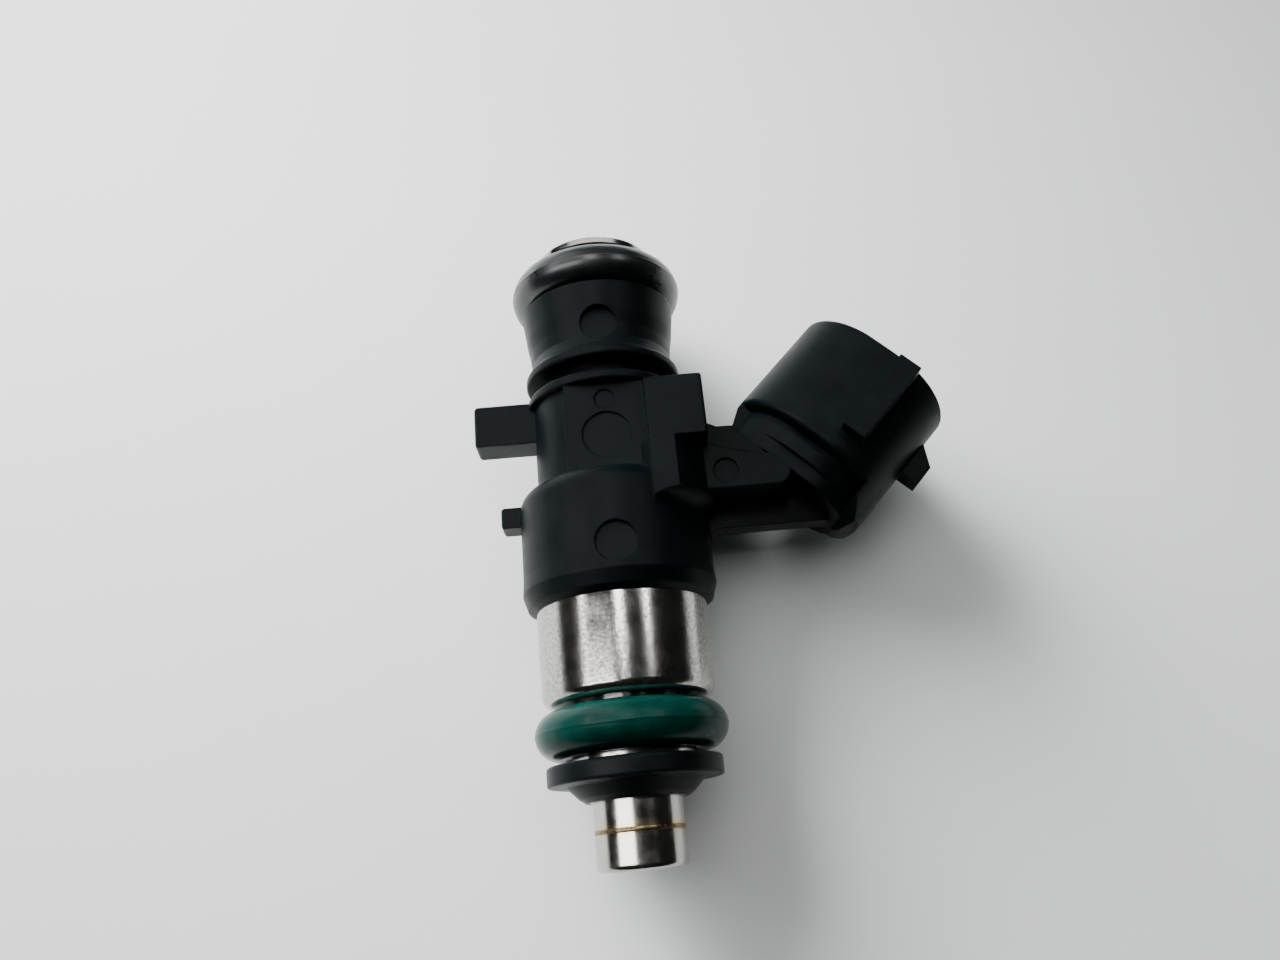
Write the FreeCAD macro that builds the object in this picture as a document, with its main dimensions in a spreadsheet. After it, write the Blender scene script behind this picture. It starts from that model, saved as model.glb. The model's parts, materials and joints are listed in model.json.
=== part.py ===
"""A port fuel injector, built as separate pieces on one upright axis.

The origin is the centre of the nozzle's tip face. +Z runs along the axis to the fuel inlet and +X
points to the side of the electrical connector. Every length is in millimetres and comes from the
sheet "dims": a formula such as "cup_radius - cup_wall" names cells of that sheet.
"""

import FreeCAD
import Part
import Sketcher
import math
import os
import re

DIMENSIONS = {
    # valve sleeve: one drawn tube from the tip to the inlet rim
    "tube_radius": 3.30,
    "tube_bore": 2.85,
    "nose_end": 4.80,
    "collar_seat_radius": 3.48,
    "tip_round": 0.40,
    "seal_seat_radius": 3.75,
    "lower_seat_start": 8.15,
    "lower_seat_end": 12.20,
    "swage_length": 0.45,
    "upper_seat_start": 44.40,
    "rim_foot": 48.90,
    "rim_edge": 49.50,
    "rim_radius": 5.05,
    "rim_round": 0.12,
    "inlet_level": 50.05,
    "inlet_bore": 3.20,
    "inlet_chamfer": 0.50,
    "inlet_floor": 42.60,
    # valve group at the tip
    "plate_level": 0.45,
    "plate_top": 0.70,
    "insert_radius": 2.83,
    "spray_hole_radius": 0.15,
    "spray_circle_radius": 0.42,
    "spray_hole_count": 4,
    "seat_top": 4.60,
    "seat_exit_radius": 0.70,
    "seat_cone_start": 1.20,
    "seat_guide_radius": 1.78,
    "ball_radius": 1.55,
    "ball_level": 2.735,
    # needle and armature
    "needle_radius": 1.10,
    "needle_bore": 0.75,
    "needle_foot": 3.95,
    "needle_top": 13.75,
    "needle_port_radius": 0.35,
    "needle_port_level": 6.00,
    "armature_radius": 2.74,
    "armature_foot": 12.40,
    "armature_top": 18.30,
    "armature_step": 13.80,
    "spring_pocket_radius": 1.55,
    "spring_pocket_floor": 15.60,
    # return spring
    "spring_wire": 0.42,
    "spring_radius": 1.20,
    "spring_foot": 15.86,
    "spring_height": 9.00,
    "spring_pitch": 1.25,
    # fixed core
    "pole_face": 18.45,
    "pole_top": 31.50,
    "pole_bore": 1.56,
    "stop_inner_radius": 1.90,
    "stop_outer_radius": 2.40,
    "stop_face": 18.41,
    "stop_back": 18.60,
    "adjuster_radius": 1.55,
    "adjuster_bore": 0.90,
    "adjuster_foot": 25.12,
    "adjuster_top": 30.60,
    "adjuster_slit": 0.40,
    # magnet cup, coil and flux washer
    "cup_foot": 11.75,
    "cup_foot_radius": 6.53,
    "cup_radius": 6.63,
    "cup_straight": 18.70,
    "cup_top": 25.90,
    "cup_wall": 0.78,
    "cup_floor": 12.65,
    "cup_hole": 3.78,
    "cup_round": 0.80,
    "bobbin_bore": 3.40,
    "bobbin_core": 3.90,
    "bobbin_radius": 5.75,
    "bobbin_foot": 12.75,
    "bobbin_top": 24.60,
    "bobbin_flange": 0.80,
    "winding_gap": 0.03,
    "winding_radius": 5.60,
    "washer_foot": 24.70,
    "washer_top": 25.70,
    "washer_bore": 3.35,
    "washer_radius": 5.80,
    "washer_notch": 3.95,
    "washer_notch_width": 4.60,
    # seals at the two ends
    "o_ring_wire": 3.53,
    "o_ring_radius": 5.515,
    "lower_seal_level": 9.70,
    "upper_seal_level": 46.85,
    "collar_bore": 3.51,
    "collar_radius": 4.60,
    "collar_top": 8.13,
    "backing_foot": 4.80,
    "backing_foot_radius": 3.80,
    "backing_bevel_radius": 4.25,
    "backing_bevel": 5.10,
    "backing_neck_radius": 5.12,
    "backing_neck": 5.95,
    "backing_radius": 6.54,
    "backing_flange": 6.05,
    "backing_edge": 7.45,
    "backing_land_radius": 4.90,
    "backing_top": 7.65,
    "backing_round": 0.22,
    # moulded housing, round the axis
    "skirt_foot": 18.90,
    "skirt_radius": 6.65,
    "skirt_bevel_radius": 7.24,
    "skirt_bevel": 19.30,
    "skirt_edge_radius": 7.60,
    "skirt_edge": 20.40,
    "body_radius": 7.50,
    "body_start": 21.60,
    "shoulder": 28.75,
    "shoulder_round": 1.50,
    "waist_radius": 5.96,
    "waist_flat": 5.55,
    "waist_pad": 3.20,
    "flange_foot": 36.00,
    "flange_radius": 6.43,
    "flange_round": 0.28,
    "groove_foot": 36.90,
    "groove_radius": 5.00,
    "groove_top": 38.20,
    "lip_radius": 6.45,
    "lip_top": 38.90,
    "lip_round": 0.25,
    "neck_start": 39.40,
    "neck_start_radius": 6.05,
    "neck_low": 40.20,
    "neck_low_radius": 5.88,
    "neck_mid": 41.30,
    "neck_mid_radius": 5.98,
    "neck_high": 42.45,
    "neck_high_radius": 6.20,
    "housing_top": 44.90,
    "housing_top_radius": 6.50,
    # lugs on the side away from the connector
    "lug_reach": 10.85,
    "lug_foot": 33.15,
    "lug_top": 36.70,
    "lug_half": 1.40,
    "peg_reach": 9.00,
    "peg_foot": 26.10,
    "peg_top": 27.80,
    "peg_half": 1.05,
    "lug_root": 5.00,
    "lug_round": 0.35,
    "peg_round": 0.30,
    # block and arm on the connector side
    "block_start": 3.15,
    "block_end": 7.65,
    "block_half": 7.00,
    "block_foot": 30.50,
    "block_top": 35.60,
    "block_round": 0.25,
    "cheek_foot": 26.30,
    "cheek_radius": 8.65,
    "cheek_fillet": 1.10,
    "cheek_side": 7.80,
    "cheek_swing": 65.80,
    "root_start": 5.50,
    "web_width": 1.70,
    "web_foot": 24.65,
    "web_fillet": 1.10,
    "spine_width": 4.60,
    "plate_width": 9.20,
    "plate_foot": 26.75,
    "plate_crown": 30.20,
    "plate_shoulder": 12.00,
    "plate_shoulder_level": 29.30,
    "plate_round": 1.15,
    "plate_end": 13.90,
    "crease_run": 1.00,
    "face_width": 8.20,
    "face_top": 32.10,
    # electrical connector, tilted from the axis: depths run back from the mouth along its axis
    "plug_tilt": 45.0,
    "sill_tilt": -45.0,
    "slant": 0.70711,
    "mouth_across": 22.81,
    "mouth_level": 37.16,
    "shell_depth": 9.90,
    "shell_end_radius": 5.72,
    "shell_half_span": 1.20,
    "shell_round": 0.45,
    "lip_edge_round": 0.25,
    "sill_depth": 13.60,
    "sill_start": 5.35,
    "sill_tip_half": 0.60,
    "sill_taper_half": 3.95,
    "sill_taper_depth": 11.00,
    "sill_round": 1.45,
    "neck_depth": 12.80,
    "neck_end_radius": 4.35,
    "neck_half_span": 1.60,
    "gusset_width": 4.00,
    "gusset_near": 9.40,
    "gusset_bend": 10.30,
    "gusset_waist": 11.75,
    "gusset_far": 12.90,
    "gusset_edge": 6.60,
    "gusset_reach": 6.00,
    "gusset_inner": 4.00,
    "gusset_foot": 0.60,
    "ring_near": 10.40,
    "ring_far": 11.65,
    "ring_end_radius": 4.80,
    "ring_half_span": 0.60,
    "socket_depth": 8.60,
    "socket_end_radius": 4.55,
    "socket_half_span": 1.10,
    "key_width": 1.95,
    "key_place": 2.40,
    "key_near": 0.45,
    "key_far": 8.15,
    "key_reach": 6.75,
    "latch_width": 1.60,
    "latch_ramp_near": 2.40,
    "latch_top_near": 4.00,
    "latch_far": 5.90,
    "latch_foot": 6.60,
    "latch_reach": 8.50,
    # terminals
    "lead_across": 4.60,
    "lead_foot": 24.62,
    "lead_level": 29.00,
    "lead_half": 0.30,
    "lead_mitre": 0.125,
    "lead_inner": 0.95,
    "lead_width": 1.00,
    "jog_near": 10.20,
    "jog_far": 11.80,
    "blade_inner": 2.15,
    "blade_width": 1.50,
    "blade_depth": 3.90,
    # mould marks: shallow round recesses, each with its floor's distance from the middle plane
    "mark_length": 4.00,
    "neck_mark_radius": 1.45,
    "neck_mark_level": 41.30,
    "neck_mark_floor": 5.68,
    "waist_mark_radius": 1.93,
    "waist_mark_level": 31.60,
    "waist_mark_floor": 5.40,
    "flange_mark_radius": 0.80,
    "flange_mark_level": 34.65,
    "flange_mark_floor": 5.42,
    "body_mark_radius": 1.55,
    "body_mark_level": 22.40,
    "body_mark_floor": 7.15,
    "arm_mark_radius": 0.98,
    "arm_mark_across": 8.95,
    "arm_mark_level": 28.20,
    "arm_mark_floor": 4.36,
    # inlet filter
    "filter_ring_radius": 3.12,
    "filter_ring_bore": 2.70,
    "filter_ring_foot": 43.00,
    "filter_top": 44.60,
    "basket_radius": 2.68,
    "basket_bore": 2.05,
    "basket_ring_foot": 43.20,
    "basket_bar_outer": 2.25,
    "basket_bar_inner": 1.98,
    "basket_bar_width": 0.60,
    "basket_bar_count": 4,
    "basket_cap_top": 37.00,
    "basket_foot": 36.40,
    "mesh_radius": 1.95,
    "mesh_bore": 1.85,
    "mesh_top": 43.60,
}

# two places closer than this count as touching, and the oval outlines are tested a little more loosely
TOUCH = 0.001
OVAL_TOUCH = 0.002

doc = FreeCAD.newDocument("fuel_injector")
sheet = doc.addObject("Spreadsheet::Sheet", "dims")
pieces = []


def fill_sheet():
    """Write one row per driving dimension: its name, then its plain number under an alias."""
    for row, (name, value) in enumerate(DIMENSIONS.items(), start=1):
        sheet.set(f"A{row}", name)
        sheet.set(f"B{row}", str(value))
        sheet.setAlias(f"B{row}", name)
    doc.recompute()


def formula(words):
    """Turn words such as "cup_radius - cup_wall" into an expression that reads the sheet."""
    return re.sub(r"([a-z_]+)", r"dims.\1", words)


def size(name):
    """The sheet's present value of one dimension."""
    return float(sheet.get(name))


def new_body(label):
    body = doc.addObject("PartDesign::Body", label)
    body.Label = label
    return body


def keep(piece):
    """List a finished piece for export under its label."""
    pieces.append(piece)
    return piece


def new_sketch(body, role):
    """A sketch on one of the body's own origin planes."""
    sketch = body.newObject("Sketcher::SketchObject", f"{body.Name}_sketch")
    plane = next(item for item in body.Origin.OriginFeatures if item.Role == role)
    sketch.AttachmentSupport = [(plane, "")]
    sketch.MapMode = "FlatFace"
    return sketch


def side_sketch(body, offset="0"):
    """A sketch in the XZ plane, moved by a formula towards -Y."""
    sketch = new_sketch(body, "XZ_Plane")
    if offset != "0":
        sketch.setExpression("AttachmentOffset.Base.z", formula(offset))
    return sketch


def plug_sketch(body, depth):
    """A sketch across the connector's axis, at a depth behind its mouth.

    The sketch's first axis runs across the connector towards its latch, the second along +Y.
    """
    sketch = new_sketch(body, "XY_Plane")
    turn = FreeCAD.Rotation(FreeCAD.Vector(0, 1, 0), size("plug_tilt"))
    sketch.AttachmentOffset = FreeCAD.Placement(FreeCAD.Vector(0, 0, 0), turn)
    sketch.setExpression("AttachmentOffset.Base.x", formula(f"mouth_across - ({depth}) * slant"))
    sketch.setExpression("AttachmentOffset.Base.z", formula(f"mouth_level - ({depth}) * slant"))
    return sketch


def bind(sketch, kind, *place, to):
    """Add one dimension to a sketch and bind it to a formula."""
    index = sketch.addConstraint(Sketcher.Constraint(kind, *place, 1.0))
    sketch.setExpression(f"Constraints[{index}]", formula(to))


def pin_point(sketch, edge, end, across, along):
    """Hold one end of an edge at two coordinates given as formulas; "0" lies on the axis."""
    for kind, axis, words in (("DistanceX", -2, across), ("DistanceY", -1, along)):
        if words == "0":
            sketch.addConstraint(Sketcher.Constraint("PointOnObject", edge, end, axis))
        else:
            bind(sketch, kind, -1, 1, edge, end, to=words)


def polygon(sketch, corners):
    """A closed outline of straight edges through corners given as pairs of formulas."""
    count = len(corners)
    ring = [FreeCAD.Rotation(360.0 * turn / count, 0, 0) for turn in range(count)]
    spots = [turn.multVec(FreeCAD.Vector(count, 0, 0)) for turn in ring]
    first = sketch.GeometryCount
    for index, spot in enumerate(spots):
        sketch.addGeometry(Part.LineSegment(spot, spots[(index + 1) % count]))
    for index, (across, along) in enumerate(corners):
        following = first + (index + 1) % count
        sketch.addConstraint(Sketcher.Constraint("Coincident", first + index, 2, following, 1))
        pin_point(sketch, first + index, 1, across, along)
    return sketch


def rectangle(sketch, left, right, low, high):
    return polygon(sketch, [(left, low), (right, low), (right, high), (left, high)])


def circle(sketch, across, along, radius):
    edge = sketch.addGeometry(Part.Circle(FreeCAD.Vector(1, 1, 0), FreeCAD.Vector(0, 0, 1), 1.0))
    pin_point(sketch, edge, 3, across, along)
    bind(sketch, "Radius", edge, to=radius)
    return sketch


def stadium(sketch, half_span, end_radius):
    """Two half circles joined by straight edges, with its long axis across the sketch."""
    span = size(half_span)
    radius = size(end_radius)
    up = FreeCAD.Vector(0, 0, 1)
    for place, start in ((span, -math.pi / 2), (-span, math.pi / 2)):
        whole = Part.Circle(FreeCAD.Vector(place, 0, 0), up, radius)
        sketch.addGeometry(Part.ArcOfCircle(whole, start, start + math.pi))
    for height in (radius, -radius):
        left = FreeCAD.Vector(-span, height, 0)
        right = FreeCAD.Vector(span, height, 0)
        sketch.addGeometry(Part.LineSegment(left, right))
    for arc, arc_end, line, line_end in ((0, 2, 2, 2), (1, 1, 2, 1), (0, 1, 3, 2), (1, 2, 3, 1)):
        sketch.addConstraint(Sketcher.Constraint("Coincident", arc, arc_end, line, line_end))
    for arc, place, rise in ((0, half_span, f"-{end_radius}"), (1, f"-{half_span}", end_radius)):
        pin_point(sketch, arc, 3, place, "0")
        pin_point(sketch, arc, 1, place, rise)
        bind(sketch, "DistanceX", -1, 1, arc, 2, to=place)
    return sketch


def capped_segment(sketch, chord, centre, radius):
    """The part of a circle, centred on the first axis, that lies beyond a chord."""
    up = FreeCAD.Vector(0, 0, 1)
    middle = size(centre) if centre != "0" else 0.0
    reach = size(chord) - middle
    rise = (size(radius) ** 2 - reach**2) ** 0.5
    low = FreeCAD.Vector(middle + reach, -rise, 0)
    high = FreeCAD.Vector(middle + reach, rise, 0)
    whole = Part.Circle(FreeCAD.Vector(middle, 0, 0), up, size(radius))
    start = whole.parameter(low)
    stop = whole.parameter(high)
    sketch.addGeometry(Part.ArcOfCircle(whole, start, stop))
    sketch.addGeometry(Part.LineSegment(high, low))
    sketch.addConstraint(Sketcher.Constraint("Coincident", 0, 2, 1, 1))
    sketch.addConstraint(Sketcher.Constraint("Coincident", 0, 1, 1, 2))
    sketch.addConstraint(Sketcher.Constraint("Vertical", 1))
    pin_point(sketch, 0, 3, centre, "0")
    bind(sketch, "Radius", 0, to=radius)
    bind(sketch, "DistanceX", -1, 1, 1, 1, to=chord)
    return sketch


def revolve(body, sketch):
    feature = body.newObject("PartDesign::Revolution", f"{body.Name}_turn")
    feature.Profile = sketch
    feature.ReferenceAxis = (sketch, ["V_Axis"])
    feature.Angle = 360
    return feature


def checked(feature, adds):
    """Recompute and make sure that a feature has really added or removed material."""
    before = feature.BaseFeature.Shape.Volume if feature.BaseFeature else 0.0
    doc.recompute()
    change = feature.Shape.Volume - before
    if (change > 0) != adds:
        raise RuntimeError(f"{feature.Name} changed the volume by {change:.4f}")
    return feature


def groove(body, sketch):
    feature = body.newObject("PartDesign::Groove", f"{body.Name}_groove")
    feature.Profile = sketch
    feature.ReferenceAxis = (sketch, ["V_Axis"])
    feature.Angle = 360
    return checked(feature, adds=False)


def pad(body, sketch, length, both_ways=False, backwards=False):
    feature = body.newObject("PartDesign::Pad", f"{body.Name}_pad")
    feature.Profile = sketch
    feature.setExpression("Length", formula(length))
    feature.SideType = "Symmetric" if both_ways else "One side"
    feature.Reversed = backwards
    return checked(feature, adds=True)


def pocket(body, sketch, length, both_ways=False, backwards=False):
    feature = body.newObject("PartDesign::Pocket", f"{body.Name}_pocket")
    feature.Profile = sketch
    feature.setExpression("Length", formula(length))
    feature.SideType = "Symmetric" if both_ways else "One side"
    feature.Reversed = backwards
    return checked(feature, adds=False)


def round_edges(body, radius, wanted):
    """Fillet the edges of the body's last feature that the test picks."""
    tip = body.Tip
    numbered = [(n, edge) for n, edge in enumerate(tip.Shape.Edges, start=1) if not edge.Degenerated]
    names = [f"Edge{n}" for n, edge in numbered if wanted(edge)]
    if not names:
        raise RuntimeError(f"{body.Name}: no edge to round by {radius}")
    feature = body.newObject("PartDesign::Fillet", f"{body.Name}_fillet")
    feature.Base = (tip, names)
    feature.setExpression("Radius", formula(radius))
    doc.recompute()
    if "Invalid" in feature.State:
        raise RuntimeError(f"{body.Name}: rounding by {radius} failed")
    return feature


def ring_edge(radius, level):
    """A test for the circular edge round the axis at this radius and level."""

    def wanted(edge):
        if not isinstance(edge.Curve, Part.Circle):
            return False
        centre = edge.Curve.Center
        on_axis = abs(centre.x) < TOUCH and abs(centre.y) < TOUCH
        same_size = abs(edge.Curve.Radius - size(radius)) < TOUCH
        return on_axis and same_size and abs(centre.z - size(level)) < TOUCH

    return wanted


def edge_between(*planes):
    """A test for straight edges in both of two planes, given as (axis, distance from zero) pairs."""
    places = [(axis, size(name)) for axis, name in planes]

    def wanted(edge):
        ends = [vertex.Point for vertex in edge.Vertexes]
        gaps = [abs(abs(end[axis]) - place) for end in ends for axis, place in places]
        return isinstance(edge.Curve, Part.Line) and max(gaps) < TOUCH

    return wanted


def oval_edge(depth, half_span, end_radius):
    """A test for the edges of an oval outline across the connector at this depth."""
    span = size(half_span)

    def wanted(edge):
        for place in (edge.FirstParameter, edge.LastParameter):
            spot = edge.valueAt(place)
            back = (size("mouth_across") - spot.x + size("mouth_level") - spot.z) * size("slant")
            aside = (spot.x - size("mouth_across") - spot.z + size("mouth_level")) * size("slant")
            reach = math.hypot(max(abs(aside) - span, 0.0), spot.y)
            if abs(back - depth) > OVAL_TOUCH or abs(reach - size(end_radius)) > OVAL_TOUCH:
                return False
        return True

    return wanted


def any_of(*tests):
    return lambda edge: any(test(edge) for test in tests)


def turned(label, corners):
    """A piece made by turning one outline, given as (radius, level) formulas, round the axis."""
    body = new_body(label)
    revolve(body, polygon(side_sketch(body), corners))
    doc.recompute()
    return body


def tube(label, inner, outer, low, high):
    return turned(label, [(inner, low), (outer, low), (outer, high), (inner, high)])


def drill_ring(body, role, across, along, radius, count):
    """Cut a circle of round holes through the body along the normal of a plane."""
    sketch = circle(new_sketch(body, role), across, along, radius)
    hole = pocket(body, sketch, "inlet_level", both_ways=True)
    if count:
        pattern = body.newObject("PartDesign::PolarPattern", f"{body.Name}_pattern")
        pattern.Originals = [hole]
        pattern.Axis = (sketch, ["N_Axis"])
        pattern.Angle = 360
        pattern.setExpression("Occurrences", formula(count))
        body.Tip = pattern
        doc.recompute()


def make_valve_sleeve():
    body = turned(
        "valve_sleeve",
        [
            ("tube_bore", "0"),
            ("tube_radius", "0"),
            ("tube_radius", "nose_end"),
            ("collar_seat_radius", "nose_end"),
            ("collar_seat_radius", "lower_seat_start"),
            ("seal_seat_radius", "lower_seat_start"),
            ("seal_seat_radius", "lower_seat_end"),
            ("tube_radius", "lower_seat_end + swage_length"),
            ("tube_radius", "upper_seat_start - swage_length"),
            ("seal_seat_radius", "upper_seat_start"),
            ("seal_seat_radius", "rim_foot"),
            ("rim_radius", "rim_edge"),
            ("rim_radius", "inlet_level"),
            ("inlet_bore + inlet_chamfer", "inlet_level"),
            ("inlet_bore", "inlet_level - inlet_chamfer"),
            ("inlet_bore", "inlet_floor"),
            ("tube_bore", "inlet_floor - swage_length"),
        ],
    )

    def tip_edge(edge):
        flat = abs(edge.BoundBox.ZMax) < TOUCH and abs(edge.BoundBox.ZMin) < TOUCH
        return flat and edge.BoundBox.XMax > size("tube_bore") + TOUCH

    round_edges(body, "tip_round", tip_edge)
    round_edges(body, "rim_round", ring_edge("rim_radius", "inlet_level"))
    return keep(body)


def make_orifice_plate():
    body = new_body("orifice_plate")
    sketch = new_sketch(body, "XY_Plane")
    sketch.setExpression("AttachmentOffset.Base.z", formula("plate_level"))
    pad(body, circle(sketch, "0", "0", "insert_radius"), "plate_top - plate_level")
    drill_ring(body, "XY_Plane", "spray_circle_radius", "0", "spray_hole_radius", "spray_hole_count")
    return keep(body)


def make_valve_seat():
    return keep(
        turned(
            "valve_seat",
            [
                ("seat_exit_radius", "plate_top"),
                ("insert_radius", "plate_top"),
                ("insert_radius", "seat_top"),
                ("seat_guide_radius", "seat_top"),
                ("seat_guide_radius", "seat_cone_start + seat_guide_radius - seat_exit_radius"),
                ("seat_exit_radius", "seat_cone_start"),
            ],
        )
    )


def make_valve_ball():
    ball = doc.addObject("Part::Sphere", "valve_ball")
    ball.setExpression("Radius", formula("ball_radius"))
    ball.setExpression("Placement.Base.z", formula("ball_level"))
    return keep(ball)


def make_needle_tube():
    body = tube("needle_tube", "needle_bore", "needle_radius", "needle_foot", "needle_top")
    drill_ring(body, "XZ_Plane", "0", "needle_port_level", "needle_port_radius", "")
    return keep(body)


def make_armature():
    return keep(
        turned(
            "armature",
            [
                ("needle_radius", "armature_foot"),
                ("armature_radius", "armature_foot"),
                ("armature_radius", "armature_top"),
                ("spring_pocket_radius", "armature_top"),
                ("spring_pocket_radius", "spring_pocket_floor"),
                ("needle_bore", "spring_pocket_floor"),
                ("needle_bore", "armature_step"),
                ("needle_radius", "armature_step"),
            ],
        )
    )


def make_return_spring():
    body = new_body("return_spring")
    sketch = circle(side_sketch(body), "spring_radius", "spring_foot", "spring_wire / 2")
    coil = body.newObject("PartDesign::AdditiveHelix", "return_spring_coil")
    coil.Profile = sketch
    coil.ReferenceAxis = (sketch, ["V_Axis"])
    coil.Mode = "pitch-height-angle"
    coil.setExpression("Pitch", formula("spring_pitch"))
    coil.setExpression("Height", formula("spring_height"))
    doc.recompute()
    return keep(body)


def make_inner_pole():
    return keep(
        turned(
            "inner_pole",
            [
                ("pole_bore", "pole_face"),
                ("stop_inner_radius", "pole_face"),
                ("stop_inner_radius", "stop_back"),
                ("stop_outer_radius", "stop_back"),
                ("stop_outer_radius", "pole_face"),
                ("insert_radius", "pole_face"),
                ("insert_radius", "pole_top"),
                ("pole_bore", "pole_top"),
            ],
        )
    )


def make_stop_ring():
    return keep(tube("stop_ring", "stop_inner_radius", "stop_outer_radius", "stop_face", "stop_back"))


def make_adjusting_tube():
    body = tube("adjusting_tube", "adjuster_bore", "adjuster_radius", "adjuster_foot", "adjuster_top")
    sketch = new_sketch(body, "XY_Plane")
    rectangle(sketch, "0", "inlet_bore", "-adjuster_slit / 2", "adjuster_slit / 2")
    pocket(body, sketch, "inlet_level", backwards=True)
    return keep(body)


def make_magnet_housing():
    body = turned(
        "magnet_housing",
        [
            ("cup_hole", "cup_foot"),
            ("cup_foot_radius", "cup_foot"),
            ("cup_radius", "cup_straight"),
            ("cup_radius", "cup_top"),
            ("cup_radius - cup_wall", "cup_top"),
            ("cup_radius - cup_wall", "cup_floor"),
            ("cup_hole", "cup_floor"),
        ],
    )
    round_edges(body, "cup_round", ring_edge("cup_foot_radius", "cup_foot"))
    return keep(body)


def make_coil_bobbin():
    return keep(
        turned(
            "coil_bobbin",
            [
                ("bobbin_bore", "bobbin_foot"),
                ("bobbin_radius", "bobbin_foot"),
                ("bobbin_radius", "bobbin_foot + bobbin_flange"),
                ("bobbin_core", "bobbin_foot + bobbin_flange"),
                ("bobbin_core", "bobbin_top - bobbin_flange"),
                ("bobbin_radius", "bobbin_top - bobbin_flange"),
                ("bobbin_radius", "bobbin_top"),
                ("bobbin_bore", "bobbin_top"),
            ],
        )
    )


def make_coil_winding():
    low = "bobbin_foot + bobbin_flange + winding_gap"
    high = "bobbin_top - bobbin_flange - winding_gap"
    return keep(tube("coil_winding", "bobbin_core + winding_gap", "winding_radius", low, high))


def make_flux_washer():
    body = tube("flux_washer", "washer_bore", "washer_radius", "washer_foot", "washer_top")
    sketch = new_sketch(body, "XY_Plane")
    half = "washer_notch_width / 2"
    rectangle(sketch, "washer_notch", "body_radius", f"-{half}", half)
    pocket(body, sketch, "inlet_level", backwards=True)
    return keep(body)


def make_backing_ring():
    body = turned(
        "backing_ring",
        [
            ("collar_bore", "backing_foot"),
            ("backing_foot_radius", "backing_foot"),
            ("backing_bevel_radius", "backing_bevel"),
            ("backing_neck_radius", "backing_neck"),
            ("backing_radius", "backing_flange"),
            ("backing_radius", "backing_edge"),
            ("backing_land_radius", "backing_top"),
            ("collar_bore", "backing_top"),
        ],
    )
    lower = ring_edge("backing_radius", "backing_flange")
    upper = ring_edge("backing_radius", "backing_edge")
    round_edges(body, "backing_round", any_of(lower, upper))
    return keep(body)


def make_retainer_collar():
    return keep(
        tube("seal_retainer_collar", "collar_bore", "collar_radius", "backing_top", "collar_top")
    )


def make_o_ring(label, level):
    ring = doc.addObject("Part::Torus", label)
    ring.setExpression("Radius1", formula("o_ring_radius"))
    ring.setExpression("Radius2", formula("o_ring_wire / 2"))
    ring.setExpression("Placement.Base.z", formula(level))
    return keep(ring)


def on_plug(depth, aside):
    """The XZ place, as two formulas, at a depth behind the mouth and a distance aside."""
    across = f"mouth_across - ({depth}) * slant + ({aside}) * slant"
    level = f"mouth_level - ({depth}) * slant - ({aside}) * slant"
    return across, level


def make_terminal(label, side):
    """One stamped terminal: an upright lead, a run through the arm, a jog and a blade.

    side is -1 for the blade on the -Y side and 1 for the one on the +Y side.
    """

    def start(inner, width):
        return inner if side < 0 else f"-({inner} + {width})"

    body = new_body(label)
    bend = "(lead_level + mouth_across - mouth_level)"
    lead = [
        ("lead_across - lead_half", "lead_foot"),
        ("lead_across + lead_half", "lead_foot"),
        ("lead_across + lead_half", "lead_level - lead_half"),
        (f"{bend} + lead_mitre", "lead_level - lead_half"),
        on_plug("jog_near", "lead_half"),
        on_plug("jog_near", "-lead_half"),
        (f"{bend} - lead_mitre", "lead_level + lead_half"),
        ("lead_across - lead_half", "lead_level + lead_half"),
    ]
    pad(body, polygon(side_sketch(body, start("lead_inner", "lead_width")), lead), "lead_width")
    for near, far, inner, width in (
        ("jog_near", "jog_far", "lead_inner", "blade_inner + blade_width - lead_inner"),
        ("blade_depth", "jog_far", "blade_inner", "blade_width"),
    ):
        strip = [
            on_plug(far, "lead_half"),
            on_plug(near, "lead_half"),
            on_plug(near, "-lead_half"),
            on_plug(far, "-lead_half"),
        ]
        pad(body, polygon(side_sketch(body, start(inner, width)), strip), width)
    return keep(body)


def add_round_body(body):
    """The housing's turned outline, filled to the axis."""
    outline = [
        ("0", "skirt_foot"),
        ("skirt_radius", "skirt_foot"),
        ("skirt_bevel_radius", "skirt_bevel"),
        ("skirt_edge_radius", "skirt_edge"),
        ("body_radius", "body_start"),
        ("body_radius", "shoulder"),
        ("waist_radius", "shoulder"),
        ("waist_radius", "flange_foot"),
        ("flange_radius", "flange_foot"),
        ("flange_radius", "groove_foot"),
        ("groove_radius", "groove_foot"),
        ("groove_radius", "groove_top"),
        ("lip_radius", "groove_top"),
        ("lip_radius", "lip_top"),
        ("neck_start_radius", "neck_start"),
        ("neck_low_radius", "neck_low"),
        ("neck_mid_radius", "neck_mid"),
        ("neck_high_radius", "neck_high"),
        ("housing_top_radius", "housing_top"),
        ("0", "housing_top"),
    ]
    revolve(body, polygon(side_sketch(body), outline))
    doc.recompute()
    round_edges(body, "shoulder_round", ring_edge("body_radius", "shoulder"))
    flange_foot = ring_edge("flange_radius", "flange_foot")
    flange_top = ring_edge("flange_radius", "groove_foot")
    round_edges(body, "flange_round", any_of(flange_foot, flange_top))
    lip_foot = ring_edge("lip_radius", "groove_top")
    lip_top = ring_edge("lip_radius", "lip_top")
    round_edges(body, "lip_round", any_of(lip_foot, lip_top))


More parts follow.
